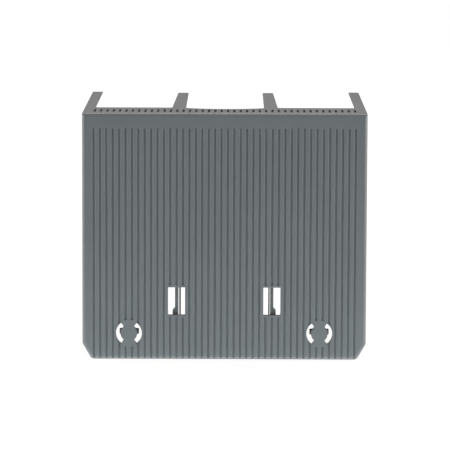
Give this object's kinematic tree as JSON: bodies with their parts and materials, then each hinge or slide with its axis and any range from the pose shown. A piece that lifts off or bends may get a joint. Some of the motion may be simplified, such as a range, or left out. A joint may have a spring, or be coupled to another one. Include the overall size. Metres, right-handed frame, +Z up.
{
  "type": "terminal cover",
  "caption": "Moulded terminal cover for a three-pole circuit breaker: grooved front plate, side walls, pole partitions and a short vented roof.",
  "frame": {"origin": "middle of the footprint, on the plane of the bottom edges", "axes": "+X to the right across the poles as seen from the front, +Y from the front plate to the open back, +Z up to the roof"},
  "size_m": [0.14, 0.1186, 0.122],
  "materials": {
    "moulding": "fine matte mould texture, blue-grey"
  },
  "bodies": {
    "root": {"terminal_cover": "moulding"}
  },
  "joints": []
}
